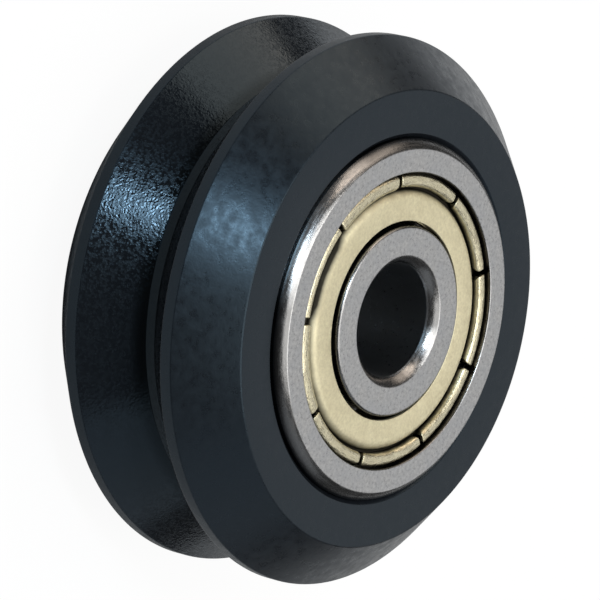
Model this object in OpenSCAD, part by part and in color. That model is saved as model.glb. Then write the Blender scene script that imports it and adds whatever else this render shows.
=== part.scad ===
// V groove roller wheel: one turned plastic wheel pressed over two shielded ball bearings,
// with a thin spacer between the inner rings. All sizes are in millimetres.
// The wheel turns about Z, and the origin is the centre of its bore, halfway through it.

/* [Wheel] */
// Diameter over the two crests
wheel_d = 24.4; // [23.6:0.1:32]
// Width between the two flat faces
wheel_w = 10.1; // [8.4:0.1:12.4]
// Depth of the middle groove below the crests
groove_depth = 2.13; // [1.6:0.01:2.6]
// Width of the flat floor of the middle groove
groove_floor_w = 0.5; // [0.3:0.05:1]
// Full angle between the two walls of the middle groove
groove_angle = 90; // [80:1:96]
// Width of the flat land on each crest
crest_w = 0.55; // [0.3:0.05:0.9]
// Angle of each outer cone to the wheel's axis
flank_angle = 45; // [35:1:50]
// Width of the small flat that breaks each sharp edge
edge_break = 0.07; // [0.03:0.01:0.15]
// Chamfer at each mouth of the bearing seats
seat_chamfer = 0.2; // [0.1:0.05:0.4]
// Thickness of the rib that parts the two bearings, and of the spacer
rib_w = 1; // [0.6:0.1:2]
// Height of the rib above the bearing seats
rib_h = 1; // [0.7:0.1:1.2]

/* [Bearings] */
// Bore of the inner rings, for the axle
bearing_bore_d = 5; // [4.2:0.1:6]
// Outside diameter of the outer rings
bearing_d = 16; // [15:0.1:16.6]
// Width of each bearing
bearing_w = 5; // [4.6:0.1:6]
// Chamfer on the bore and outside edges of the rings
ring_chamfer = 0.44; // [0.2:0.01:0.5]
// Fillet on the inner ring's outer edges, beside the shields
shoulder_fillet = 0.14; // [0.05:0.01:0.16]
// Diameter of each ball
ball_d = 2.778; // [2.3:0.001:3.2]
// Number of balls in each bearing
ball_count = 7; // [5:1:7]
// Running clearance between a ball and its raceways
race_play = 0.03; // [0.01:0.01:0.05]
// Depth of each raceway below its ring's shoulder
race_depth = 0.34; // [0.2:0.01:0.5]
// Outside diameter of the spacer between the inner rings
spacer_d = 10; // [9:0.1:11]

/* [Shields] */
// Thickness of the shield's sheet
shield_t = 0.18; // [0.12:0.01:0.2]
// Gap between a shield's hole and the inner ring
shield_gap = 0.2; // [0.1:0.01:0.3]
// Depth of a shield's flat plate below the rings' faces
plate_sink = 0.2; // [0.1:0.01:0.3]
// Depth of the valley round the plate, below the plate
valley_drop = 0.37; // [0.25:0.01:0.4]
// Radial width of the valley's floor
valley_w = 0.1; // [0.08:0.01:0.15]
// Radius of the plate's rounded shoulder, above the valley
shoulder_r = 0.48; // [0.42:0.01:0.5]
// Radial width of the curled rim
curl_w = 0.58; // [0.5:0.01:0.64]
// Depth of the curled rim's crest below the rings' faces
curl_sink = 0.15; // [0.1:0.01:0.3]
// Step from the outer ring's shoulder out to the wall of the shield's recess
recess_step = 0.25; // [0.2:0.01:0.3]
// Fillet on the outer edge of the shield's recess
recess_fillet = 0.04; // [0.02:0.01:0.1]
// Depth of the groove that holds the rim's foot, beyond the recess's wall
foot_groove = 0.14; // [0.1:0.01:0.2]
// Gap between the curled rim and the recess's wall
curl_gap = 0.09; // [0.05:0.01:0.12]
// Number of slits that part the curled rim
slit_count = 9; // [6:1:12]
// Width of each slit
slit_w = 0.24; // [0.15:0.01:0.35]
// Radius on the corners that each slit leaves on the rim
slit_corner = 0.13; // [0.08:0.01:0.17]

/* [Cages] */
// Thickness of the cages' sheet
cage_t = 0.2; // [0.12:0.01:0.24]
// Radial width of the cages' ribbon
cage_w = 1.3; // [1:0.05:1.5]
// Clearance between a ball and its pocket
pocket_play = 0.05; // [0.03:0.01:0.08]
// Clearance between the cages' domes and the shields beyond them
dome_play = 0.06; // [0.05:0.01:0.15]
// Width of each clinched tab
tab_w = 0.5; // [0.3:0.05:0.8]
// Thickness of each clinched tab
tab_t = 0.14; // [0.1:0.01:0.2]
// Reach of each tab over the ribbon
tab_reach = 0.45; // [0.3:0.05:0.7]

/* [Hidden] */
$fn = 96;
SIDES = ["upper", "lower"];

// Wheel
wheel_r = wheel_d / 2;
face_z = wheel_w / 2;
groove_z = groove_floor_w / 2 + groove_depth * tan(groove_angle / 2);
crest_z = groove_z + crest_w;
floor_r = wheel_r - groove_depth;
face_r = wheel_r - (face_z - crest_z) * tan(flank_angle);
seat_r = bearing_d / 2;

// Bearing rings, in each bearing's own frame: Z = 0 is its middle, and its outboard face is up
half_w = bearing_w / 2;
bore_r = bearing_bore_d / 2;
ball_r = ball_d / 2;
pitch_r = (bore_r + seat_r) / 2;
race_r = ball_r + race_play;
inner_shoulder_r = pitch_r - ball_r + race_depth;
outer_shoulder_r = pitch_r + ball_r - race_depth;
bearing_z = (rib_w + bearing_w) / 2;
ball_step = 360 / ball_count;
// Turn of the balls and of the slits in each bearing, upper then lower
ball_phase = [0, 23];
slit_phase = [-2, 15];

// Shield, from its hole outwards: depths are below the ring's face
plate_r_in = inner_shoulder_r + shield_gap;
recess_r = outer_shoulder_r + recess_step;
foot_r = recess_r + foot_groove;
curl_r = curl_w / 2;
curl_mid_r = recess_r - curl_gap - curl_r;
curl_in_r = curl_mid_r - curl_r;
curl_out_r = curl_mid_r + curl_r;
valley_r = curl_in_r - valley_w;
plate_r_out = valley_r - sqrt(pow(shoulder_r, 2) - pow(shoulder_r - valley_drop, 2));
valley_sink = plate_sink + valley_drop;
shield_floor = valley_sink + shield_t;
curl_mid_sink = curl_sink + curl_r;
curl_leg = shield_floor - curl_mid_sink;
// The groove's upper lip overhangs the foot by this much more than the sheet's thickness
lip_play = 0.06;

// Cage
cage_r_in = pitch_r - cage_w / 2;
cage_r_out = pitch_r + cage_w / 2;
pocket_r = ball_r + pocket_play;
// The room for half a cage, as widths and heights: under the shield's valley, and under its plate
cage_rooms = [
    [cage_w, half_w - shield_floor - dome_play],
    [plate_r_out - dome_play - cage_r_in, half_w - plate_sink - shield_t - dome_play]
];

// Clearance between the outboard half's edge and the tabs folded round it
clinch_play = 0.02;

// Small lengths that make cutters pass their targets
over = 1;
spill = 0.03;
// How far a chamfer's own ends are broken
edge_ease = 0.03;

// A point a distance d from p towards q
function towards(p, q, d) = p + (q - p) * d / norm(q - p);

// An outline with each corner cut back by d along both of its edges
function eased(points, d) = [
    for (i = [0:len(points) - 1])
        for (j = [-1, 1])
            towards(points[i], points[(i + j + len(points)) % len(points)], d)
];

// A list of points and its mirror image below the X axis, as one closed outline
function both_halves(points) = concat(
    points,
    [for (i = [len(points) - 1:-1:0]) [points[i][0], -points[i][1]]]
);

// The waste outside a fillet in the corner at the origin, which fills the first quadrant
module fillet_waste(r) {
    difference() {
        translate([-spill, -spill]) square(r + spill);
        translate([r, r]) circle(r);
    }
}

// The waste outside a chamfer in the corner at the origin, with its sharp ends broken
module chamfer_waste(c) {
    polygon([
        [-spill, -spill],
        [c + edge_ease, -spill],
        [c + edge_ease, 0],
        [c - edge_ease, edge_ease],
        [edge_ease, c - edge_ease],
        [0, c + edge_ease],
        [-spill, c + edge_ease]
    ]);
}

// A ring's section from r_in to r_out: a rectangle as wide as the bearing
module ring_section(r_in, r_out) {
    translate([r_in, -half_w]) square([r_out - r_in, bearing_w]);
}

// Puts a bearing's piece in the upper or the lower bearing: outboard always faces away
module in_bearing(side) {
    mirror([0, 0, side]) translate([0, 0, bearing_z]) children();
}

// Repeats its child at every ball's place in a bearing
module at_balls(side) {
    for (i = [1:ball_count])
        rotate(ball_phase[side] + ball_step * (i - 1)) translate([pitch_r, 0]) children();
}

// The wheel is one revolve: crests, cones, groove, two bearing seats and the rib between them
module wheel() {
    outside = [
        [0, face_z],
        [face_r, face_z],
        [wheel_r, crest_z],
        [wheel_r, groove_z],
        [floor_r, groove_floor_w / 2]
    ];
    inside = [
        [0, face_z + over],
        [seat_r + seat_chamfer + over, face_z + over],
        [seat_r, face_z - seat_chamfer],
        [seat_r, rib_w / 2],
        [seat_r - rib_h, rib_w / 2]
    ];
    color("#2b2e31") rotate_extrude() difference() {
        polygon(eased(both_halves(outside), edge_break));
        polygon(both_halves(inside));
    }
}

// A flat washer between the inner rings, as thick as the wheel's rib
module spacer() {
    color("#9c9ea2") linear_extrude(rib_w, center = true) difference() {
        circle(spacer_d / 2);
        circle(bore_r);
    }
}

// Outer ring: raceway inside, and at each end a recess with a groove for the shield's foot
module outer_ring() {
    color("#a9abad") rotate_extrude() difference() {
        ring_section(outer_shoulder_r, seat_r);
        translate([pitch_r, 0]) circle(race_r);
        for (up = [0, 1]) mirror([0, up]) {
            translate([0, half_w - shield_floor]) square([recess_r, shield_floor + over]);
            translate([0, half_w - shield_floor]) square([foot_r, shield_t + lip_play]);
            translate([recess_r, half_w]) mirror([0, 1]) fillet_waste(recess_fillet);
            translate([seat_r, half_w]) mirror([1, 0]) mirror([0, 1]) chamfer_waste(ring_chamfer);
        }
    }
}

// Inner ring: raceway outside, plain bore inside
module inner_ring() {
    color("#b3b5b7") rotate_extrude() difference() {
        ring_section(bore_r, inner_shoulder_r);
        translate([pitch_r, 0]) circle(race_r);
        for (up = [0, 1]) mirror([0, up]) {
            translate([bore_r, half_w]) mirror([0, 1]) chamfer_waste(ring_chamfer);
            translate([inner_shoulder_r, half_w]) mirror([1, 0]) mirror([0, 1]) fillet_waste(shoulder_fillet);
        }
    }
}

// The rolled rim's section, round the middle of its roll: a half tube open downwards, on two legs
module curl_section() {
    hollow_r = curl_r - shield_t;
    difference() {
        union() {
            circle(curl_r);
            translate([-curl_r, -curl_leg]) square([2 * curl_r, curl_leg]);
        }
        circle(hollow_r);
        translate([-hollow_r, -over]) square([2 * hollow_r, over]);
        translate([-over, -curl_leg - over]) square([2 * over, over]);
    }
}

// The flat plate's section and its shoulder's, round the middle of the shoulder's arc
module plate_section() {
    plate_w = plate_r_out - plate_r_in;
    intersection() {
        difference() {
            union() {
                circle(shoulder_r);
                translate([-plate_w - over, 0]) square([plate_w + over, shoulder_r]);
            }
            circle(shoulder_r - shield_t);
            translate([-plate_w - over, -over]) square([plate_w + over, shoulder_r - shield_t + over]);
        }
        translate([-plate_w, 0]) square([valley_r - plate_r_in, shoulder_r]);
    }
}

// Section of a shield, with Y = 0 on the ring's face and the sheet below it
module shield_section() {
    translate([plate_r_out, -plate_sink - shoulder_r]) plate_section();
    translate([valley_r - shield_t, -shield_floor])
        square([curl_in_r - valley_r + 3 / 2 * shield_t, shield_t]);
    translate([curl_mid_r, -curl_mid_sink]) curl_section();
    // Foot, snapped into the outer ring's groove
    translate([curl_out_r - shield_t / 2, -shield_floor])
        square([foot_r - curl_out_r + shield_t / 2, shield_t]);
}

// Plan of one slit through the curled rim, with the rim's corners rounded
module slit_plan() {
    translate([curl_in_r - 2 * spill, -slit_w / 2]) square([foot_r - curl_in_r + over, slit_w]);
    for (s = [0, 1]) mirror([0, s]) {
        translate([curl_in_r - spill, slit_w / 2]) fillet_waste(slit_corner);
        translate([curl_out_r + spill, slit_w / 2]) mirror([1, 0]) fillet_waste(slit_corner);
    }
}

module shield(phase) {
    color("#d5cb9f") difference() {
        translate([0, 0, half_w]) rotate_extrude() shield_section();
        for (i = [1:slit_count])
            rotate(phase + 360 / slit_count * i)
                translate([0, 0, half_w - shield_floor - over])
                    linear_extrude(shield_floor + over) slit_plan();
    }
}

// Half of a ribbon cage: a flat ring with a dome over every ball, above Z = 0 or below it
module cage_half(side, below) {
    difference() {
        intersection() {
            union() {
                translate([0, 0, -below * cage_t]) cylinder(h = cage_t, r = cage_r_out);
                at_balls(side) sphere(pocket_r + cage_t);
            }
            rotate_extrude() for (room = cage_rooms)
                translate([cage_r_in, -below * room[1]]) square(room);
        }
        at_balls(side) sphere(pocket_r);
    }
}

// Tabs on the inboard half that wrap the outboard half's edge, midway between the balls
module cage_tabs(side) {
    tab_angle = 2 * asin(tab_w / 2 / cage_r_out);
    for (i = [1:ball_count])
        rotate(ball_phase[side] + ball_step * (i - 0.5) - tab_angle / 2)
            rotate_extrude(angle = tab_angle) polygon([
                [cage_r_out - cage_t, -cage_t],
                [cage_r_out + tab_t, -cage_t],
                [cage_r_out + tab_t, cage_t + tab_t],
                [cage_r_out - tab_reach, cage_t + tab_t],
                [cage_r_out - tab_reach, cage_t],
                [cage_r_out + clinch_play, cage_t],
                [cage_r_out + clinch_play, 0],
                [cage_r_out - cage_t, 0]
            ]);
}

module cage_outboard(side) {
    color("#8f8a72") cage_half(side, 0);
}

module cage_inboard(side) {
    color("#8f8a72") {
        cage_half(side, 1);
        cage_tabs(side);
    }
}

module ball() {
    color("#c9cbce") sphere(ball_r);
}

wheel();
spacer();
for (s = [0, 1]) in_bearing(s) {
    outer_ring();
    inner_ring();
    shield(slit_phase[s]);
    mirror([0, 0, 1]) shield(slit_phase[s]);
    cage_outboard(s);
    cage_inboard(s);
    for (i = [1:ball_count])
        rotate(ball_phase[s] + ball_step * (i - 1)) translate([pitch_r, 0]) ball();
}
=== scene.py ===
"""A V groove roller wheel: a turned black plastic wheel on two shielded ball bearings.

The CAD frame gives every place and size. The wheel, the bearing rings and the outer shields
are turned and pressed again here with finer edges. The balls, cages, spacer and inner shields
stay as the frame has them, and get their finishes. Lengths are in metres, and section lists
hold a radius and a height. MM turns a size in millimetres into metres.
"""

import math

import bpy
import bmesh
from mathutils import Matrix, Vector


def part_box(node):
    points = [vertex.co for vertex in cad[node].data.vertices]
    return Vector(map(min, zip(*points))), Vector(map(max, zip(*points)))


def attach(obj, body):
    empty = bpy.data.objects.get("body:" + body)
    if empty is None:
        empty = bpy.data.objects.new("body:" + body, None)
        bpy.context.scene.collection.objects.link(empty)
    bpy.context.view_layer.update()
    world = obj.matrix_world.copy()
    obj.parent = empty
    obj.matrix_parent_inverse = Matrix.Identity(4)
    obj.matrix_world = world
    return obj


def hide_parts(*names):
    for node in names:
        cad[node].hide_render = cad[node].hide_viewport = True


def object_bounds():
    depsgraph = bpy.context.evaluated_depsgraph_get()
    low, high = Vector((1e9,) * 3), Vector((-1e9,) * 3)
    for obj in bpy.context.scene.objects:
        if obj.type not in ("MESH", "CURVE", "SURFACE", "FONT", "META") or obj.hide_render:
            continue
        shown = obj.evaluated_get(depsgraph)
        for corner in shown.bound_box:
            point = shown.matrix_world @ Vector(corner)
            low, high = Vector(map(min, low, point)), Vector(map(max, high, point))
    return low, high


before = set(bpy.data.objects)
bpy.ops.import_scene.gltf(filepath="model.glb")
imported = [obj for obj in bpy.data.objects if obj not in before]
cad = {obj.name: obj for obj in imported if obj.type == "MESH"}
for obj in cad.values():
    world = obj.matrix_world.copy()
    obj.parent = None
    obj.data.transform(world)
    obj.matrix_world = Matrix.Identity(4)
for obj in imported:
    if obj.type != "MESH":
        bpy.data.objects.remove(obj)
cad_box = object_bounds()
MM = 0.001
SIDES = {"upper": 1, "lower": -1}


# ---------------------------------------------------------------- sizes, read from the frame

def reach(node):
    """A turned node's outer radius and its lowest and highest heights."""
    low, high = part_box(node)
    return high.x, low.z, high.z


wheel_r, _, wheel_high = reach("wheel")
ring_r, ring_low, ring_high = reach("upper_outer_ring")
hub_ring_r = reach("upper_inner_ring")[0]
rib_half = reach("spacer")[2]
bearing_mid = (ring_low + ring_high) / 2
half_width = (ring_high - ring_low) / 2

# Sizes inside those boxes: the wheel
GROOVE_DEPTH, GROOVE_FLOOR, CREST_LAND = 2.13 * MM, 0.5 * MM, 0.55 * MM
SEAT_CHAMFER, RIB_HEIGHT = 0.2 * MM, 1.0 * MM

# The rings
BORE_R = 2.5 * MM
PITCH_R, RACE_R = 5.25 * MM, 1.419 * MM
OUTER_SHOULDER_R, RECESS_R, FOOT_R = 6.299 * MM, 6.549 * MM, 6.689 * MM
RING_CHAMFER, CHAMFER_ARC, CHAMFER_EASE = 0.44 * MM, 40, 0.07 * MM
SHOULDER_FILLET, RECESS_FILLET, FOOT_EASE = 0.14 * MM, 0.07 * MM, 0.02 * MM
FOOT_ROOM = 0.06 * MM

# The shields: the sheet, its plate and valley, the rolled rim, and the slits in it
SHEET = 0.18 * MM
PLATE_IN, PLATE_OUT, PLATE_SINK = 4.401 * MM, 5.312 * MM, 0.2 * MM
SHOULDER_R, VALLEY_SINK, VALLEY_BEND = 0.48 * MM, 0.57 * MM, 0.04 * MM
ROLL_MID, ROLL_R, ROLL_SINK, ROLL_SHEET = 6.169 * MM, 0.29 * MM, 0.15 * MM, 0.15 * MM
ROLL_FULLNESS, FOOT_PLAY, CUT_EASE = 2.9, 0.02 * MM, 0.035 * MM
SLITS, SLIT_WIDTH, SLIT_CORNER = 9, 0.24 * MM, 0.15 * MM
SLIT_TURN = {"upper": -2, "lower": 15}

# How far a fold is out of true: a turn either way in degrees, and a rise either way
FOLD_WANDER, FOLD_LIFT = 0.45, 0.012 * MM

# The upper shield's pinched fold: its number, its direction, and how it and its neighbours lean.
# The lower shield has none, so its number is far from every fold's.
TIGHT_FOLD, TIGHT_FOLD_AT = {"upper": 6, "lower": -SLITS}, 258
TIGHT_LEAN, WIDE_LEAN = -0.35, 0.3

# The direction, to and fro across the axis, of the painted highlight on the rings' chamfers
PAINTED_HIGHLIGHT_AT = 244

# How fine the meshes are: steps to a turn, along an arc, and along and across a fold
WHEEL_TURN, RING_TURN = 384, 288
RACE_STEPS, FILLET_STEPS, CORNER_STEPS, CUT_STEPS = 24, 8, 6, 4
CHAMFER_STEPS, PLATE_STEPS = 8, 12
FOLD_STEPS, ROLL_STEPS = 30, 16

# Points nearer than this are one, and edges sharper than these angles stay crisp
SAME_POINT = 0.00005 * MM
CRISP, CRISP_SHEET = 32, 40


# ---------------------------------------------------------------- sections

def rounded(points, radii, steps=CORNER_STEPS, closed=True):
    """A line through points with each corner rounded to its own radius; 0 keeps it sharp."""
    out, count = [], len(points)
    for i, (point, radius) in enumerate(zip(points, radii)):
        here = Vector(point)
        if radius == 0 or (not closed and i in (0, count - 1)):
            out.append(here)
            continue
        back = (Vector(points[i - 1]) - here).normalized()
        ahead = (Vector(points[(i + 1) % count]) - here).normalized()
        half = back.angle(ahead) / 2
        middle = here + (back + ahead).normalized() * (radius / math.sin(half))
        start = here + back * (radius / math.tan(half)) - middle
        end = here + ahead * (radius / math.tan(half)) - middle
        sweep = start.angle_signed(end)
        for k in range(steps + 1):
            turn = -sweep * k / steps
            out.append(middle + Matrix.Rotation(turn, 2) @ start)
    return out


def underside(top, thickness):
    """The under face of a sheet whose upper face is given, point under point."""
    under = []
    for i, point in enumerate(top):
        before = (point - top[i - 1]).normalized() if i > 0 else None
        after = (top[i + 1] - point).normalized() if i < len(top) - 1 else None
        along = ((before or after) + (after or before)).normalized()
        mitre = along.dot(before or after)
        under.append(point + Vector((along.y, -along.x)) * thickness / mitre)
    return under


def arc(centre, radius, start, stop, steps):
    """Points on an arc, from one angle to the other in degrees."""
    angles = [math.radians(start + (stop - start) * k / steps) for k in range(steps + 1)]
    return [Vector(centre) + Vector((math.cos(a), math.sin(a))) * radius for a in angles]


def flipped(loop):
    """A section's mirror image in its middle plane, in the opposite order."""
    return [Vector((p.x, -p.y)) for p in reversed(loop)]


# ---------------------------------------------------------------- node trees

def feed(tree, node, values):
    """Fills a node's inputs by name or number: a socket is linked, and a value is set."""
    for key, value in values.items():
        socket = node.inputs[key]
        if isinstance(value, bpy.types.NodeSocket):
            tree.links.new(value, socket)
        else:
            socket.default_value = value
    return node


def add(tree, kind, values=None, **settings):
    """A new node in a tree, with its settings made and then its inputs filled."""
    node = tree.nodes.new(kind)
    for key, value in settings.items():
        setattr(node, key, value)
    return feed(tree, node, values or {})


def reckon(tree, operation, first, second=0.0):
    """A sum in a node tree."""
    return add(tree, "ShaderNodeMath", {0: first, 1: second}, operation=operation).outputs[0]


def growing_tree(name, inputs):
    """An empty geometry nodes tree that makes a piece, and the sockets of its named inputs."""
    tree = bpy.data.node_groups.new(name, "GeometryNodeTree")
    for label, kind in inputs.items():
        tree.interface.new_socket(label, in_out="INPUT", socket_type="NodeSocket" + kind)
    tree.interface.new_socket("Piece", in_out="OUTPUT", socket_type="NodeSocketGeometry")
    return tree, add(tree, "NodeGroupInput").outputs


def hand_over(tree, shape, finish):
    """Ends a geometry nodes tree: the shape is made one real mesh and gets its finish."""
    whole = add(tree, "GeometryNodeRealizeInstances", {0: shape})
    done = add(tree, "GeometryNodeSetMaterial", {"Geometry": whole.outputs[0], "Material": finish})
    add(tree, "NodeGroupOutput", {"Piece": done.outputs[0]})
    return tree


# ---------------------------------------------------------------- turning and placing pieces

# The circle that every section is swept along, and that its points are shifted in by
TURNING_R = 10 * MM


def turning_tree():
    """Geometry nodes that turn a section about Z: it lies in X and Y, with Y downwards."""
    tree, start = growing_tree("turned_section", {
        "Section": "Geometry", "Steps": "Int", "Finish": "Material"})
    section = add(tree, "GeometryNodeMeshToCurve", {"Mesh": start["Section"]})
    path = add(tree, "GeometryNodeCurvePrimitiveCircle",
               {"Resolution": start["Steps"], "Radius": TURNING_R})
    swept = add(tree, "GeometryNodeCurveToMesh",
                {"Curve": path.outputs[0], "Profile Curve": section.outputs[0]})
    return hand_over(tree, swept.outputs[0], start["Finish"])


def grown(name, mesh, tree, inputs):
    """The plain mesh that a tree makes of a mesh, with the tree's inputs set by name."""
    seed = bpy.data.objects.new(name + "_seed", mesh)
    bpy.context.scene.collection.objects.link(seed)
    modifier = seed.modifiers.new("grow", "NODES")
    modifier.node_group = tree
    for item in tree.interface.items_tree:
        if item.item_type == "SOCKET" and item.in_out == "INPUT" and item.name in inputs:
            modifier[item.identifier] = inputs[item.name]
    shaped = seed.evaluated_get(bpy.context.evaluated_depsgraph_get())
    made = bpy.data.meshes.new_from_object(shaped)
    bpy.data.objects.remove(seed)
    made.name = name
    return made


def finished(mesh, crisp=CRISP):
    """Merges a mesh's doubles, turns its faces outwards and shades it smooth between crisp edges."""
    shape = bmesh.new()
    shape.from_mesh(mesh)
    bmesh.ops.remove_doubles(shape, verts=shape.verts, dist=SAME_POINT)
    bmesh.ops.recalc_face_normals(shape, faces=shape.faces)
    if shape.calc_volume(signed=True) < 0:
        bmesh.ops.reverse_faces(shape, faces=shape.faces)
    shape.to_mesh(mesh)
    shape.free()
    mesh.shade_smooth()
    mesh.set_sharp_from_angle(angle=math.radians(crisp))
    return mesh


def turned(name, loop, finish, steps=RING_TURN):
    """A closed section turned about Z as one mesh."""
    points = [(point[0] - TURNING_R, -point[1], 0) for point in loop]
    edges = [(i, (i + 1) % len(points)) for i in range(len(points))]
    section = bpy.data.meshes.new(name + "_section")
    section.from_pydata(points, edges, [])
    return finished(grown(name, section, TURNING, {"Steps": steps, "Finish": finish}))


def place(name, mesh, body, slot, *nodes):
    """Puts a finished mesh in the scene on its body, in place of the named nodes."""
    piece = bpy.data.objects.new(name, mesh)
    bpy.context.scene.collection.objects.link(piece)
    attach(piece, body)
    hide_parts(*nodes)


TURNING = turning_tree()


# ---------------------------------------------------------------- finishes

def grey(level, red=1.0, green=1.0, blue=1.0):
    """A grey of this level, tinted by the share of each colour in it."""
    return (level * red, level * green, level * blue, 1.0)


# The plastic, low and high on its mottle, and the painted shade deep in the groove
BLACK_LOW, BLACK_HIGH = grey(0.008, 0.85, 1.0, 1.3), grey(0.012, 0.85, 1.0, 1.25)
BLACK_GROOVE_SHADE = grey(0.003)
# The rings' painted shade: in the bore, down the outer side, and in the recesses beside the shields
BORE_SHADE_GREY, EDGE_SHADE_GREY = grey(0.36, 0.95, 1.0, 1.05), grey(0.02, 0.9, 1.0, 1.2)
RECESS_SHADE_GREY = grey(0.05, 1.0, 0.9, 0.8)
# The shields' plating, low and high on its grain, clouded, rubbed through, and the painted shade in its
# creases
GILT_LOW, GILT_HIGH = (0.78, 0.71, 0.49, 1), (0.94, 0.88, 0.65, 1)
GILT_CLOUD, GILT_WORN = (0.70, 0.62, 0.42, 1), (0.42, 0.38, 0.30, 1)
CREASE_SHADE = (0.012, 0.010, 0.008, 1)
# The balls, and the cages' ribbon, each low and high
BALL_LOW, BALL_HIGH = grey(0.55), grey(0.72)
STRIP_LOW, STRIP_HIGH = (0.36, 0.32, 0.20, 1), (0.52, 0.47, 0.31, 1)


class Finish:
    """A material with one Principled shader, built node by node on the object's own coordinates.

    Heights, radii and depths in a finish are in millimetres.
    """

    def __init__(self, name, settings):
        self.material = bpy.data.materials.new(name)
        self.material.use_nodes = True
        self.tree = self.material.node_tree
        self.shader = self.tree.nodes["Principled BSDF"]
        self.where = self.node("TexCoord").outputs["Object"]
        self.apply(settings)

    def apply(self, settings):
        feed(self.tree, self.shader, settings)

    def node(self, kind, values=None, **settings):
        return add(self.tree, "ShaderNode" + kind, values, **settings)

    def reckon(self, operation, first, second=0.0):
        return reckon(self.tree, operation, first, second)

    def times(self, first, *others):
        """Masks and amounts multiplied together."""
        for other in others:
            first = self.reckon("MULTIPLY", first, other)
        return first

    def between(self, amount, first, second):
        """The first value where the amount is 0, and the second where it is 1."""
        gap = self.reckon("SUBTRACT", second, first)
        return self.reckon("ADD", first, self.times(gap, amount))

    def span(self, value, low, high, to_low=0.0, to_high=1.0):
        """A value's way from low to high, as a share or between two given values."""
        return self.node("MapRange", {"Value": value, "From Min": low, "From Max": high,
                                      "To Min": to_low, "To Max": to_high}).outputs[0]

    def blend(self, amount, first, second):
        """The first colour where the amount is 0, and the second where it is 1."""
        mixed = self.node("Mix", data_type="RGBA")
        feed(self.tree, mixed, {0: amount, 6: first, 7: second})
        return mixed.outputs[2]

    def noise(self, per_mm, detail=3.0, rough=0.5):
        return self.node("TexNoise", {"Vector": self.where, "Scale": per_mm / MM,
                                      "Detail": detail, "Roughness": rough}).outputs["Fac"]

    def beads(self, per_mm):
        """Round dimples side by side: each point's depth, and a chance value for each dimple."""
        made = self.node("TexVoronoi", {"Vector": self.where, "Scale": per_mm / MM},
                         feature="SMOOTH_F1")
        return made.outputs["Distance"], made.outputs["Color"]

    def radius_and_height(self):
        """The distance from the wheel's axis, and the height."""
        parts = self.node("SeparateXYZ", {0: self.where}).outputs
        flat = self.node("CombineXYZ", {0: parts[0], 1: parts[1]}).outputs[0]
        length = self.node("VectorMath", {0: flat}, operation="LENGTH").outputs["Value"]
        return self.reckon("DIVIDE", length, MM), self.reckon("DIVIDE", parts[2], MM)

    def sink(self, height):
        """The depth below the nearer face of its bearing, from a height."""
        off_middle = self.reckon("SUBTRACT", self.reckon("ABSOLUTE", height), bearing_mid / MM)
        return self.reckon("SUBTRACT", half_width / MM, self.reckon("ABSOLUTE", off_middle))

    def around(self, radius, per_turn, across):
        """Noise drawn out round the axis: streaks, so many to a turn and across a millimetre."""
        parts = self.node("SeparateXYZ", {0: self.where}).outputs
        turn = self.reckon("ARCTAN2", parts[1], parts[0])
        seam = self.node("CombineXYZ", {0: self.reckon("COSINE", turn),
                                        1: self.reckon("SINE", turn),
                                        2: self.times(radius, across / per_turn)})
        return self.node("TexNoise", {"Vector": seam.outputs[0], "Scale": per_turn,
                                      "Detail": 3.0, "Roughness": 0.6}).outputs["Fac"]

    def toward(self, degrees, radius):
        """The cosine of the angle between a point and a direction across the axis."""
        turn = math.radians(degrees)
        aim = (math.cos(turn) / MM, math.sin(turn) / MM, 0)
        along = self.node("VectorMath", {0: self.where, 1: aim}, operation="DOT_PRODUCT")
        return self.reckon("DIVIDE", along.outputs["Value"], radius)

    def bump(self, height, depth, under=None):
        """Relief of a height from 0 to 1, as deep as given, over any relief under it."""
        values = {"Height": height, "Distance": depth * MM, "Strength": 1.0}
        if under is not None:
            values["Normal"] = under
        return self.node("Bump", values).outputs[0]

    def set(self, base_color, roughness, normal):
        self.apply({"Base Color": base_color, "Roughness": roughness, "Normal": normal})
        return self.material


def black_plastic():
    """Turned black acetal: cold sheen, grainy on the groove's walls and softly mottled elsewhere."""
    made = Finish("black_acetal", {
        "IOR": 1.48, "Specular IOR Level": 0.5, "Specular Tint": (0.55, 0.80, 1.0, 1)})
    mottle = made.noise(2.4, 4.0, 0.6)
    dimples, luck = made.beads(11.0)
    radius, height = made.radius_and_height()

    # The groove's mask fades out under the crests, and its bottom, darkened and dulled as painted shade,
    # begins just over its floor
    groove = made.span(made.reckon("ABSOLUTE", height), 2.3, 2.5, 1.0, 0.0)
    floor_r = (wheel_r - GROOVE_DEPTH) / MM
    deep = made.times(made.span(radius, floor_r + 0.15, floor_r + 0.5, 1.0, 0.0), groove)

    # Painted shade: the groove's bottom gets a darker tone and, through a little metal, less reflection
    tone = made.blend(deep, made.blend(mottle, BLACK_LOW, BLACK_HIGH), BLACK_GROOVE_SHADE)
    made.apply({"Metallic": made.times(deep, 0.3)})
    soft = made.span(mottle, 0.36, 0.64, 0.26, 0.38)
    grainy = made.span(luck, 0.3, 0.5, 0.09, 0.25)
    skin = made.times(dimples, made.span(groove, 0.0, 1.0, 0.3, 1.0))
    return made.set(base_color=tone, roughness=made.between(groove, soft, grainy),
                    normal=made.bump(skin, 0.005, made.bump(mottle, 0.008)))


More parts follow.
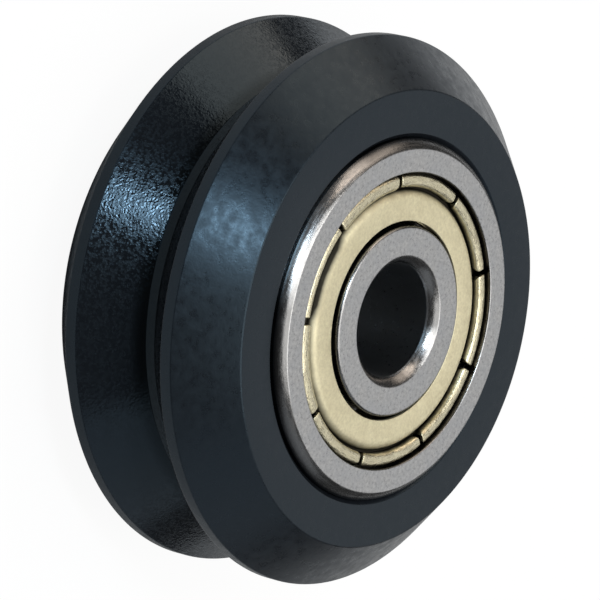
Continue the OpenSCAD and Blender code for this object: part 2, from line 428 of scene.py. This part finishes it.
def satin_steel(name, level, rough):
    """Ground faces and tumbled chamfers, with painted shade on the chamfers save a painted highlight, in
    the bore and beside the shields.
    """
    made = Finish(name, {"Metallic": 1.0})
    grain, cloud = made.noise(6.0, 4.0, 0.75), made.noise(1.1)
    radius, height = made.radius_and_height()
    sink = made.sink(height)
    streaks = made.around(radius, 9.0, 16.0)

    # Where it is: in the bore, on a chamfer, down the outer side, or beside a shield
    bore_r = BORE_R / MM
    bore = made.span(radius, bore_r + 0.01, bore_r + 0.05, 1.0, 0.0)
    chamfer = made.times(made.span(sink, 0.0, 0.03),
                         made.span(radius, bore_r + 0.02, bore_r + 0.06))
    # A painted highlight on the chamfers, towards the given direction and the opposite one
    painted_highlight = made.span(made.reckon("ABSOLUTE", made.toward(PAINTED_HIGHLIGHT_AT, radius)), 0.86, 0.96)
    # Painted shade down the outer half of the outer chamfer, less of it within the painted highlight
    corner = made.times(made.span(sink, 0.1, 0.4), made.span(radius, 7.4, 7.5),
                        made.reckon("SUBTRACT", 0.9, made.times(painted_highlight, 0.8)))
    beside = made.times(made.reckon("GREATER_THAN", radius, 3.2),
                        made.reckon("LESS_THAN", radius, 7.0))
    # Painted shade beside the shields: below the faces and on the recess edge
    recess_edge = made.times(made.span(sink, 0.01, 0.06), made.span(radius, 6.2, 6.3))
    recess_shade = made.times(made.reckon("MAXIMUM", made.span(sink, 0.05, 0.2), recess_edge), beside)

    tone = made.blend(made.span(grain, 0.35, 0.65),
                      grey(level * 0.76), grey(level * 1.24, 1.0, 0.995, 0.985))
    tone = made.blend(made.span(cloud, 0.35, 0.65, 0.0, 0.35),
                      tone, grey(level * 0.88, 0.96, 1.0, 1.06))
    # Painted shade darkens the chamfers, except where the painted highlight is
    tone = made.blend(made.times(chamfer, made.span(painted_highlight, 0.0, 1.0, 0.88, 0.0)),
                      tone, grey(level * 0.3))
    # Painted shade on the outer half of the outer chamfer
    tone = made.blend(corner, tone, EDGE_SHADE_GREY)
    # Painted shade in the recesses beside the shields
    tone = made.blend(made.times(recess_shade, 0.85), tone, RECESS_SHADE_GREY)
    # Painted shade in the bore
    tone = made.blend(bore, tone, BORE_SHADE_GREY)
    fine = made.span(grain, 0.3, 0.7, rough - 0.05, rough + 0.08)
    worn = made.span(streaks, 0.35, 0.65, rough - 0.12, rough + 0.02)
    return made.set(base_color=tone, roughness=made.between(chamfer, fine, worn),
                    normal=made.bump(made.times(streaks, chamfer), 0.006, made.bump(grain, 0.006)))


def shield_tin():
    """Pale gold plated sheet: matt plate, brighter rolled rim, and painted shade in the creases."""
    made = Finish("gilt_sheet", {"Metallic": 1.0})
    grain, cloud = made.noise(8.0, 4.0, 0.6), made.noise(1.6)
    radius, height = made.radius_and_height()
    sink = made.sink(height)
    rim = made.span(radius, 5.84, 5.94)
    streaks = made.around(radius, 12.0, 9.0)

    # The painted crease shade reaches higher in the valley beside the upper shield's pinched fold
    pinched = made.times(made.span(made.toward(TIGHT_FOLD_AT, radius), 0.94, 0.975, 0.0, 0.17),
                         made.reckon("GREATER_THAN", height, 0.0),
                         made.span(radius, 5.3, 5.6), made.span(radius, 5.95, 6.05, 1.0, 0.0))
    # Painted shade in the valley and creases, growing with depth below the face, a little uneven
    uneven = made.reckon("ADD", sink, made.times(cloud, 0.08))
    crease_shade = made.span(made.reckon("ADD", uneven, pinched), 0.27, 0.50)

    tone = made.blend(made.span(grain, 0.3, 0.7), GILT_LOW, GILT_HIGH)
    tone = made.blend(made.span(cloud, 0.4, 0.8, 0.0, 0.3), tone, GILT_CLOUD)
    tone = made.blend(made.times(made.span(streaks, 0.5, 0.7), made.times(rim, 0.35)),
                      tone, GILT_WORN)
    tone = made.blend(made.times(crease_shade, 0.97), tone, CREASE_SHADE)
    rough = made.reckon("SUBTRACT", made.span(grain, 0.3, 0.7, 0.52, 0.68),
                        made.times(rim, made.span(streaks, 0.4, 0.6, 0.2, 0.34)))
    return made.set(base_color=tone, roughness=rough,
                    normal=made.bump(made.times(streaks, rim), 0.045, made.bump(grain, 0.008)))


def polished_steel():
    """Lapped balls, near to a mirror."""
    made = Finish("ball_polish", {"Metallic": 1.0})
    haze = made.noise(3.0)
    return made.set(base_color=made.blend(haze, BALL_LOW, BALL_HIGH),
                    roughness=made.span(haze, 0.3, 0.7, 0.06, 0.14),
                    normal=made.bump(haze, 0.0005))


def cage_strip():
    """Pressed ribbon, brown with oil."""
    made = Finish("cage_strip", {"Metallic": 1.0})
    grain = made.noise(6.0, 4.0, 0.6)
    return made.set(base_color=made.blend(grain, STRIP_LOW, STRIP_HIGH),
                    roughness=made.span(grain, 0.3, 0.7, 0.3, 0.45),
                    normal=made.bump(grain, 0.006))


PLASTIC = black_plastic()
RING_STEEL = satin_steel("ring_satin", 0.55, 0.30)
SPACER_STEEL = satin_steel("spacer_satin", 0.45, 0.38)
GILT = shield_tin()
POLISH = polished_steel()
STRIP = cage_strip()


# ---------------------------------------------------------------- the wheel

def wheel_section():
    """Closed section of the wheel: the rib, a seat, a face, a cone, a crest and the groove, twice."""
    groove_top = GROOVE_FLOOR / 2 + GROOVE_DEPTH
    crest_top = groove_top + CREST_LAND
    face_r = wheel_r - (wheel_high - crest_top)
    seat_r = ring_r
    half = [  # radius, height, and the corner's own rounding in millimetres
        (seat_r - RIB_HEIGHT, rib_half, 0.05), (seat_r, rib_half, 0.02),
        (seat_r, wheel_high - SEAT_CHAMFER, 0.05), (seat_r + SEAT_CHAMFER, wheel_high, 0.08),
        (face_r, wheel_high, 0.16), (wheel_r, crest_top, 0.12),
        (wheel_r, groove_top, 0.12), (wheel_r - GROOVE_DEPTH, GROOVE_FLOOR / 2, 0.12),
    ]
    corners = half + [(r, -z, ease) for r, z, ease in reversed(half)]
    return rounded([(r, z) for r, z, ease in corners], [ease * MM for r, z, ease in corners])


place("groove_wheel", turned("groove_wheel", wheel_section(), PLASTIC, WHEEL_TURN),
      "wheel", "wheel_plastic", "wheel")


# ---------------------------------------------------------------- bearing rings

def crowned_chamfer(corner, inward):
    """The slightly bulging chamfer on a corner of a ring, from the ring's face to its side."""
    half_arc = math.radians(CHAMFER_ARC / 2)
    bulge_r = RING_CHAMFER / math.sqrt(2) / math.sin(half_arc)
    back = RING_CHAMFER / 2 + bulge_r * math.cos(half_arc) / math.sqrt(2)
    points = arc((0, 0), bulge_r, 45 - CHAMFER_ARC / 2, 45 + CHAMFER_ARC / 2, CHAMFER_STEPS)
    return [(corner[0] - inward * (back - p.x), corner[1] - back + p.y) for p in reversed(points)]


def chamfer_radii(edge):
    """Corner radii along a crowned chamfer: only its two ends are eased."""
    return [CHAMFER_EASE] + [0] * (len(edge) - 2) + [CHAMFER_EASE]


def race_end(shoulder_r):
    """Where a raceway meets its shoulder: the height there, and its angle round the ball's centre."""
    height = math.sqrt(RACE_R ** 2 - (shoulder_r - PITCH_R) ** 2)
    return height, math.degrees(math.asin(height / RACE_R))


def outer_ring_section():
    """Closed section of an outer ring round its own middle: raceway, recesses and foot grooves."""
    floor_z = half_width - VALLEY_SINK - SHEET
    lip_z = floor_z + SHEET + FOOT_ROOM
    race_z, race_turn = race_end(OUTER_SHOULDER_R)
    edge = crowned_chamfer((ring_r, half_width), 1)
    points = [
        (OUTER_SHOULDER_R, 0), (OUTER_SHOULDER_R, race_z), (OUTER_SHOULDER_R, floor_z),
        (FOOT_R, floor_z), (FOOT_R, lip_z), (RECESS_R, lip_z), (RECESS_R, half_width),
    ] + edge + [(ring_r, 0)]
    radii = [0, 0, 0] + [FOOT_EASE] * 3 + [RECESS_FILLET] + chamfer_radii(edge) + [0]
    upper = rounded(points, radii, FILLET_STEPS, closed=False)[1:-1]
    race = arc((PITCH_R, 0), RACE_R, -race_turn, race_turn, RACE_STEPS)[1:-1]
    return race + upper + flipped(upper)


def inner_ring_section():
    """Closed section of an inner ring round its own middle: raceway, shoulders and bore."""
    race_z, race_turn = race_end(hub_ring_r)
    edge = crowned_chamfer((BORE_R, half_width), -1)
    points = [(hub_ring_r, 0), (hub_ring_r, race_z), (hub_ring_r, half_width)] + edge + [(BORE_R, 0)]
    radii = [0, 0, SHOULDER_FILLET] + chamfer_radii(edge) + [0]
    upper = rounded(points, radii, FILLET_STEPS, closed=False)[1:-1]
    race = arc((PITCH_R, 0), RACE_R, 180 + race_turn, 180 - race_turn, RACE_STEPS)[1:-1]
    return race + upper + flipped(upper)


def raised(loop, side):
    """A bearing section moved to the upper or lower bearing, outboard side away from the wheel."""
    return [Vector((p.x, SIDES[side] * (p.y + bearing_mid))) for p in loop]


for side in SIDES:
    for kind, section, body in (("outer", outer_ring_section(), "wheel"),
                                ("inner", inner_ring_section(), "hub")):
        name = f"{side}_{kind}_race"
        place(name, turned(name, raised(section, side), RING_STEEL),
              body, "ring_steel", f"{side}_{kind}_ring")


# ---------------------------------------------------------------- outer shields

def plate_section():
    """Closed section of a shield's plate, its round shoulder and the narrow valley beyond."""
    steepest = math.degrees(math.asin(1 - (VALLEY_SINK - PLATE_SINK) / SHOULDER_R))
    shoulder = arc((PLATE_OUT, -PLATE_SINK - SHOULDER_R), SHOULDER_R, 90, steepest, PLATE_STEPS)
    line = [(PLATE_IN, -PLATE_SINK)] + shoulder + [(ROLL_MID - ROLL_R + ROLL_SHEET, -VALLEY_SINK)]
    bends = [0] * (len(line) - 2) + [VALLEY_BEND, 0]
    top = rounded(line, bends, closed=False)
    loop = top + underside(top, SHEET)[::-1]
    soft = [CUT_EASE if point in (top[0], loop[-1]) else 0 for point in loop]
    return rounded(loop, soft, CUT_STEPS)


def roll_faces(lean):
    """The outside and the inside of the rolled rim's sheet, from the valley over the roll to the foot.

    A lean widens the roll's inner half over the valley by that share, and a negative one narrows it.
    """
    middle_z = -ROLL_SINK - ROLL_R
    over = []
    for k in range(ROLL_STEPS + 1):
        turn = math.pi * (1 - k / ROLL_STEPS)
        across = math.copysign(abs(math.cos(turn)) ** (2 / ROLL_FULLNESS), math.cos(turn))
        across *= 1 + lean if across < 0 else 1
        up = abs(math.sin(turn)) ** (2 / ROLL_FULLNESS)
        over.append((ROLL_MID + ROLL_R * across, middle_z + ROLL_R * up))
    foot = [(ROLL_MID + ROLL_R, -VALLEY_SINK), (FOOT_R - FOOT_PLAY, -VALLEY_SINK)]
    leg = (over[0][0], -VALLEY_SINK - SHEET / 2)
    outside = [Vector(p) for p in [leg] + over + foot]
    return outside, underside(outside, ROLL_SHEET)


def half_fold(radius):
    """Half the angle that a fold takes up at a radius: it draws in at its corners beside the slits."""
    depth = max(ROLL_R - abs(radius - ROLL_MID), 0)
    short = max(SLIT_CORNER - depth, 0)
    drawn_in = SLIT_CORNER - math.sqrt(SLIT_CORNER ** 2 - short ** 2)
    return math.pi / SLITS - (SLIT_WIDTH / 2 + drawn_in) / radius


def fold_stations():
    """Where a fold's columns of points stand, from one cut end to the other.

    Each is a share of the half fold, a step back from the cut, and a step into the sheet.
    """
    end = []
    for degrees in (0, 30, 60, 90):
        turn = math.radians(degrees)
        end.append((1, CUT_EASE * (1 - math.cos(turn)), CUT_EASE * (1 - math.sin(turn))))
    middle = [(2 * k / FOLD_STEPS - 1, 0, 0) for k in range(1, FOLD_STEPS)]
    return [(-share, back, inset) for share, back, inset in end] + middle + end[::-1]


def rim_fold(name, finish, lean):
    """One fold of the rolled rim between two slits, centred on X, with rounded cut edges."""
    outside, inside = roll_faces(lean)
    loop = outside + inside[::-1]
    across = inside + outside[::-1]
    count = len(loop)
    shape = bmesh.new()
    columns = []
    for share, back, inset in fold_stations():
        column = []
        for point, other in zip(loop, across):
            moved = point + (other - point).normalized() * inset
            turn = share * (half_fold(point.x) - back / point.x)
            column.append(shape.verts.new((moved.x * math.cos(turn), moved.x * math.sin(turn), moved.y)))
        columns.append(column)
    for first, second in zip(columns, columns[1:]):
        for i in range(count):
            j = (i + 1) % count
            shape.faces.new((first[i], first[j], second[j], second[i]))
    for column in (columns[0], columns[-1]):
        for i in range(len(outside) - 1):
            shape.faces.new((column[i], column[i + 1], column[count - 2 - i], column[count - 1 - i]))
    mesh = bpy.data.meshes.new(name)
    shape.to_mesh(mesh)
    shape.free()
    mesh.materials.append(finish)
    fold = bpy.data.objects.new(name, mesh)
    bpy.context.scene.collection.objects.link(fold)
    return fold


def rim_tree():
    """Geometry nodes that join a plate with a fold for each step between slits, a little out of true."""
    tree, start = growing_tree("rolled_rim", {
        "Plate": "Geometry", "Fold": "Object", "Tight fold": "Object", "Wide fold": "Object",
        "Tight": "Int", "Slits": "Int", "First turn": "Float", "Wander": "Float",
        "Lift": "Float", "Seed": "Int", "Finish": "Material"})
    index = add(tree, "GeometryNodeInputIndex").outputs[0]

    def chance(spread, seed_step):
        low = reckon(tree, "MULTIPLY", spread, -1.0)
        seed = reckon(tree, "ADD", start["Seed"], seed_step)
        return add(tree, "FunctionNodeRandomValue", {2: low, 3: spread, "ID": index, "Seed": seed},
                   data_type="FLOAT").outputs[1]

    def upright(value):
        return add(tree, "ShaderNodeCombineXYZ", {2: value}).outputs[0]

    step = reckon(tree, "DIVIDE", 2 * math.pi, start["Slits"])
    turn = reckon(tree, "ADD", start["First turn"], reckon(tree, "MULTIPLY", index, step))
    spin = upright(reckon(tree, "ADD", turn, chance(start["Wander"], 0.0)))
    rise = upright(chance(start["Lift"], 7.0))
    points = add(tree, "GeometryNodePoints", {"Count": start["Slits"]})
    points = add(tree, "GeometryNodeSetPosition", {"Geometry": points.outputs[0], "Offset": rise})
    off_tight = reckon(tree, "ABSOLUTE", reckon(tree, "SUBTRACT", index, start["Tight"]))
    chosen = {"Fold": reckon(tree, "GREATER_THAN", off_tight, 1.5),
              "Tight fold": reckon(tree, "LESS_THAN", off_tight, 0.5),
              "Wide fold": reckon(tree, "COMPARE", off_tight, 1.0)}
    joined = add(tree, "GeometryNodeJoinGeometry", {0: start["Plate"]})
    for label, selection in chosen.items():
        fold = add(tree, "GeometryNodeObjectInfo", {"Object": start[label]})
        folds = add(tree, "GeometryNodeInstanceOnPoints",
                    {"Points": points.outputs[0], "Selection": selection,
                     "Instance": fold.outputs["Geometry"], "Rotation": spin})
        feed(tree, joined, {0: folds.outputs[0]})
    return hand_over(tree, joined.outputs[0], start["Finish"])


def pressed_shield(name, side, seed):
    """A shield in its bearing's outboard face: the plate and its valley, with the slit rolled rim.

    The upper one has a fold pinched tight and two wide ones beside it, and the lower one's are alike.
    """
    plate = turned(name + "_plate", plate_section(), GILT)
    leans = {"Fold": 0, "Tight fold": TIGHT_LEAN, "Wide fold": WIDE_LEAN}
    folds = {label: rim_fold(name + "_fold", GILT, lean) for label, lean in leans.items()}
    shield = grown(name, plate, ROLLED_RIM, {
        "Tight": TIGHT_FOLD[side], "Slits": SLITS,
        "First turn": math.radians(SLIT_TURN[side] + 180 / SLITS),
        "Wander": math.radians(FOLD_WANDER), "Lift": FOLD_LIFT, "Seed": seed,
        "Finish": GILT, **folds})
    for fold in folds.values():
        bpy.data.objects.remove(fold)
    face = Matrix.Translation((0, 0, bearing_mid + half_width))
    shield.transform(Matrix.Diagonal((1, 1, SIDES[side], 1)) @ face)
    return finished(shield, CRISP_SHEET)


ROLLED_RIM = rim_tree()
for side, seed in (("upper", 3), ("lower", 5)):
    name = side + "_shield"
    place(name, pressed_shield(name, side, seed), "wheel", "shield_steel", side + "_outboard_shield")


# ---------------------------------------------------------------- finishes on the frame's own pieces

def coat(node, finish):
    """Gives a node its finish, in each slot that it has or in a new one."""
    slots = cad[node].data.materials
    for i in range(len(slots)):
        slots[i] = finish
    if not len(slots):
        slots.append(finish)


for node in cad:
    for word, finish in (("shield", GILT), ("cage", STRIP), ("ball", POLISH)):
        if word in node:
            coat(node, finish)
coat("spacer", SPACER_STEEL)


# ---------------------------------------------------------------- camera

# Where the camera stands, in degrees and metres, and its shift to its left and down in millimetres
EYE_ELEVATION, EYE_ROLL, EYE_DISTANCE = 37.494, 103.1, 0.218444
EYE_LEFT, EYE_DOWN = 0.034, 0.048
LENS, SENSOR = 297.9, 36


def camera():
    """A long lens above the wheel's upper face, rolled so that the wheel looks stood on its rim."""
    elevation = math.radians(EYE_ELEVATION)
    back = Vector((0, -math.cos(elevation), math.sin(elevation)))
    right = Matrix.Rotation(math.radians(EYE_ROLL), 3, back) @ Vector((1, 0, 0))
    up = back.cross(right)
    data = bpy.data.cameras.new("eye")
    data.lens, data.sensor_width = LENS, SENSOR
    data.clip_start, data.clip_end = 0.01, 20
    eye = bpy.data.objects.new("eye", data)
    turn = Matrix((right, up, back)).transposed().to_4x4()
    stand = back * EYE_DISTANCE - right * EYE_LEFT * MM - up * EYE_DOWN * MM
    eye.matrix_world = Matrix.Translation(stand) @ turn
    bpy.context.scene.collection.objects.link(eye)
    bpy.context.scene.camera = eye


camera()


# ---------------------------------------------------------------- floor, world and lamps

FLOOR_HALF, FLOOR_GREY, FLOOR_GLOW, FLOOR_SEEN = 3.0, grey(0.5), 1.1, 0.85
WHITE, WORLD_DIM = grey(1.0), 0.08


def white_floor():
    """A pale floor, white where it is seen or reflected, which still takes a soft shadow."""
    shape = bmesh.new()
    bmesh.ops.create_grid(shape, x_segments=8, y_segments=8, size=FLOOR_HALF)
    mesh = bpy.data.meshes.new("floor")
    shape.to_mesh(mesh)
    shape.free()
    floor = bpy.data.objects.new("floor", mesh)
    floor.location.z = cad_box[0].z
    bpy.context.scene.collection.objects.link(floor)
    made = bpy.data.materials.new("floor_white")
    made.use_nodes = True
    tree = made.node_tree
    tree.nodes.clear()

    def fading(distance, start, stop, first, last):
        """A value that goes from first to last between two distances in millimetres."""
        return add(tree, "ShaderNodeMapRange",
                   {"Value": distance, "From Min": start * MM, "From Max": stop * MM,
                    "To Min": first, "To Max": last}).outputs[0]

    ray = add(tree, "ShaderNodeLightPath").outputs
    where = add(tree, "ShaderNodeTexCoord").outputs["Object"]
    away = add(tree, "ShaderNodeVectorMath", {0: where}, operation="LENGTH").outputs["Value"]
    along_x, along_y = add(tree, "ShaderNodeSeparateXYZ", {0: where}).outputs[:2]

    # What the wheel mirrors of the floor: none of it close by, and less to two of its sides
    clear = fading(away, 14, 45, 0.0, 0.75)
    shade = reckon(tree, "MULTIPLY", fading(along_x, -25, 25, 1.0, 0.35),
                   fading(along_y, -30, 0, 0.45, 1.0))
    mirrored = reckon(tree, "MAXIMUM", ray["Is Glossy Ray"], ray["Is Transmission Ray"])
    mirrored = reckon(tree, "MULTIPLY", reckon(tree, "MULTIPLY", mirrored, shade), clear)
    seen = reckon(tree, "MULTIPLY", ray["Is Camera Ray"], FLOOR_SEEN)
    share = reckon(tree, "MAXIMUM", seen, mirrored)
    matt = add(tree, "ShaderNodeBsdfDiffuse", {"Color": FLOOR_GREY})
    glow = add(tree, "ShaderNodeEmission", {"Color": WHITE, "Strength": FLOOR_GLOW})
    both = add(tree, "ShaderNodeMixShader", {0: share, 1: matt.outputs[0], 2: glow.outputs[0]})
    add(tree, "ShaderNodeOutputMaterial", {0: both.outputs[0]})
    mesh.materials.append(made)


def studio_world():
    """Dim light from all round, and plain white where the world itself is seen."""
    world = bpy.data.worlds.new("studio")
    bpy.context.scene.world = world
    world.use_nodes = True
    tree = world.node_tree
    tree.nodes.clear()
    seen = add(tree, "ShaderNodeLightPath").outputs["Is Camera Ray"]
    dim = add(tree, "ShaderNodeBackground", {0: WHITE, 1: WORLD_DIM})
    white = add(tree, "ShaderNodeBackground", {0: WHITE, 1: 1.0})
    both = add(tree, "ShaderNodeMixShader", {0: seen, 1: dim.outputs[0], 2: white.outputs[0]})
    add(tree, "ShaderNodeOutputWorld", {0: both.outputs[0]})


def lamp(name, azimuth, elevation, width, height, radiance, tint, distance=0.6):
    """A soft panel aimed at the wheel, with azimuth 0 in front and radiance 1 as bright as white."""
    a, e = math.radians(azimuth), math.radians(elevation)
    away = Vector((math.sin(a) * math.cos(e), -math.cos(a) * math.cos(e), math.sin(e)))
    data = bpy.data.lights.new(name, "AREA")
    data.shape = "RECTANGLE"
    data.size, data.size_y = width, height
    data.energy = radiance * math.pi * width * height
    data.color = tint
    panel = bpy.data.objects.new(name, data)
    turn = away.to_track_quat("Z", "Y").to_matrix().to_4x4()
    panel.matrix_world = Matrix.Translation(away * distance) @ turn
    bpy.context.scene.collection.objects.link(panel)


white_floor()
studio_world()

# Azimuth and elevation in degrees, width and height, radiance, and tint
lamp("key_panel", -27, 50, 0.10, 0.10, 31.0, (0.74, 0.88, 1.0))
lamp("front_panel", -22, 14, 0.35, 0.12, 1.0, (0.45, 0.75, 1.0))
lamp("top_panel", 20, 84, 0.6, 0.6, 2.2, (1.0, 0.98, 0.95))
lamp("back_panel", 180, 38, 0.6, 0.45, 0.55, (1.0, 1.0, 1.0))
lamp("side_panel", -101, 26, 0.42, 0.4, 1.6, (1.0, 0.84, 0.70))
lamp("low_panel", 95, 28, 0.5, 0.4, 0.4, (0.9, 0.95, 1.0))

bpy.context.scene.view_settings.view_transform = "Standard"
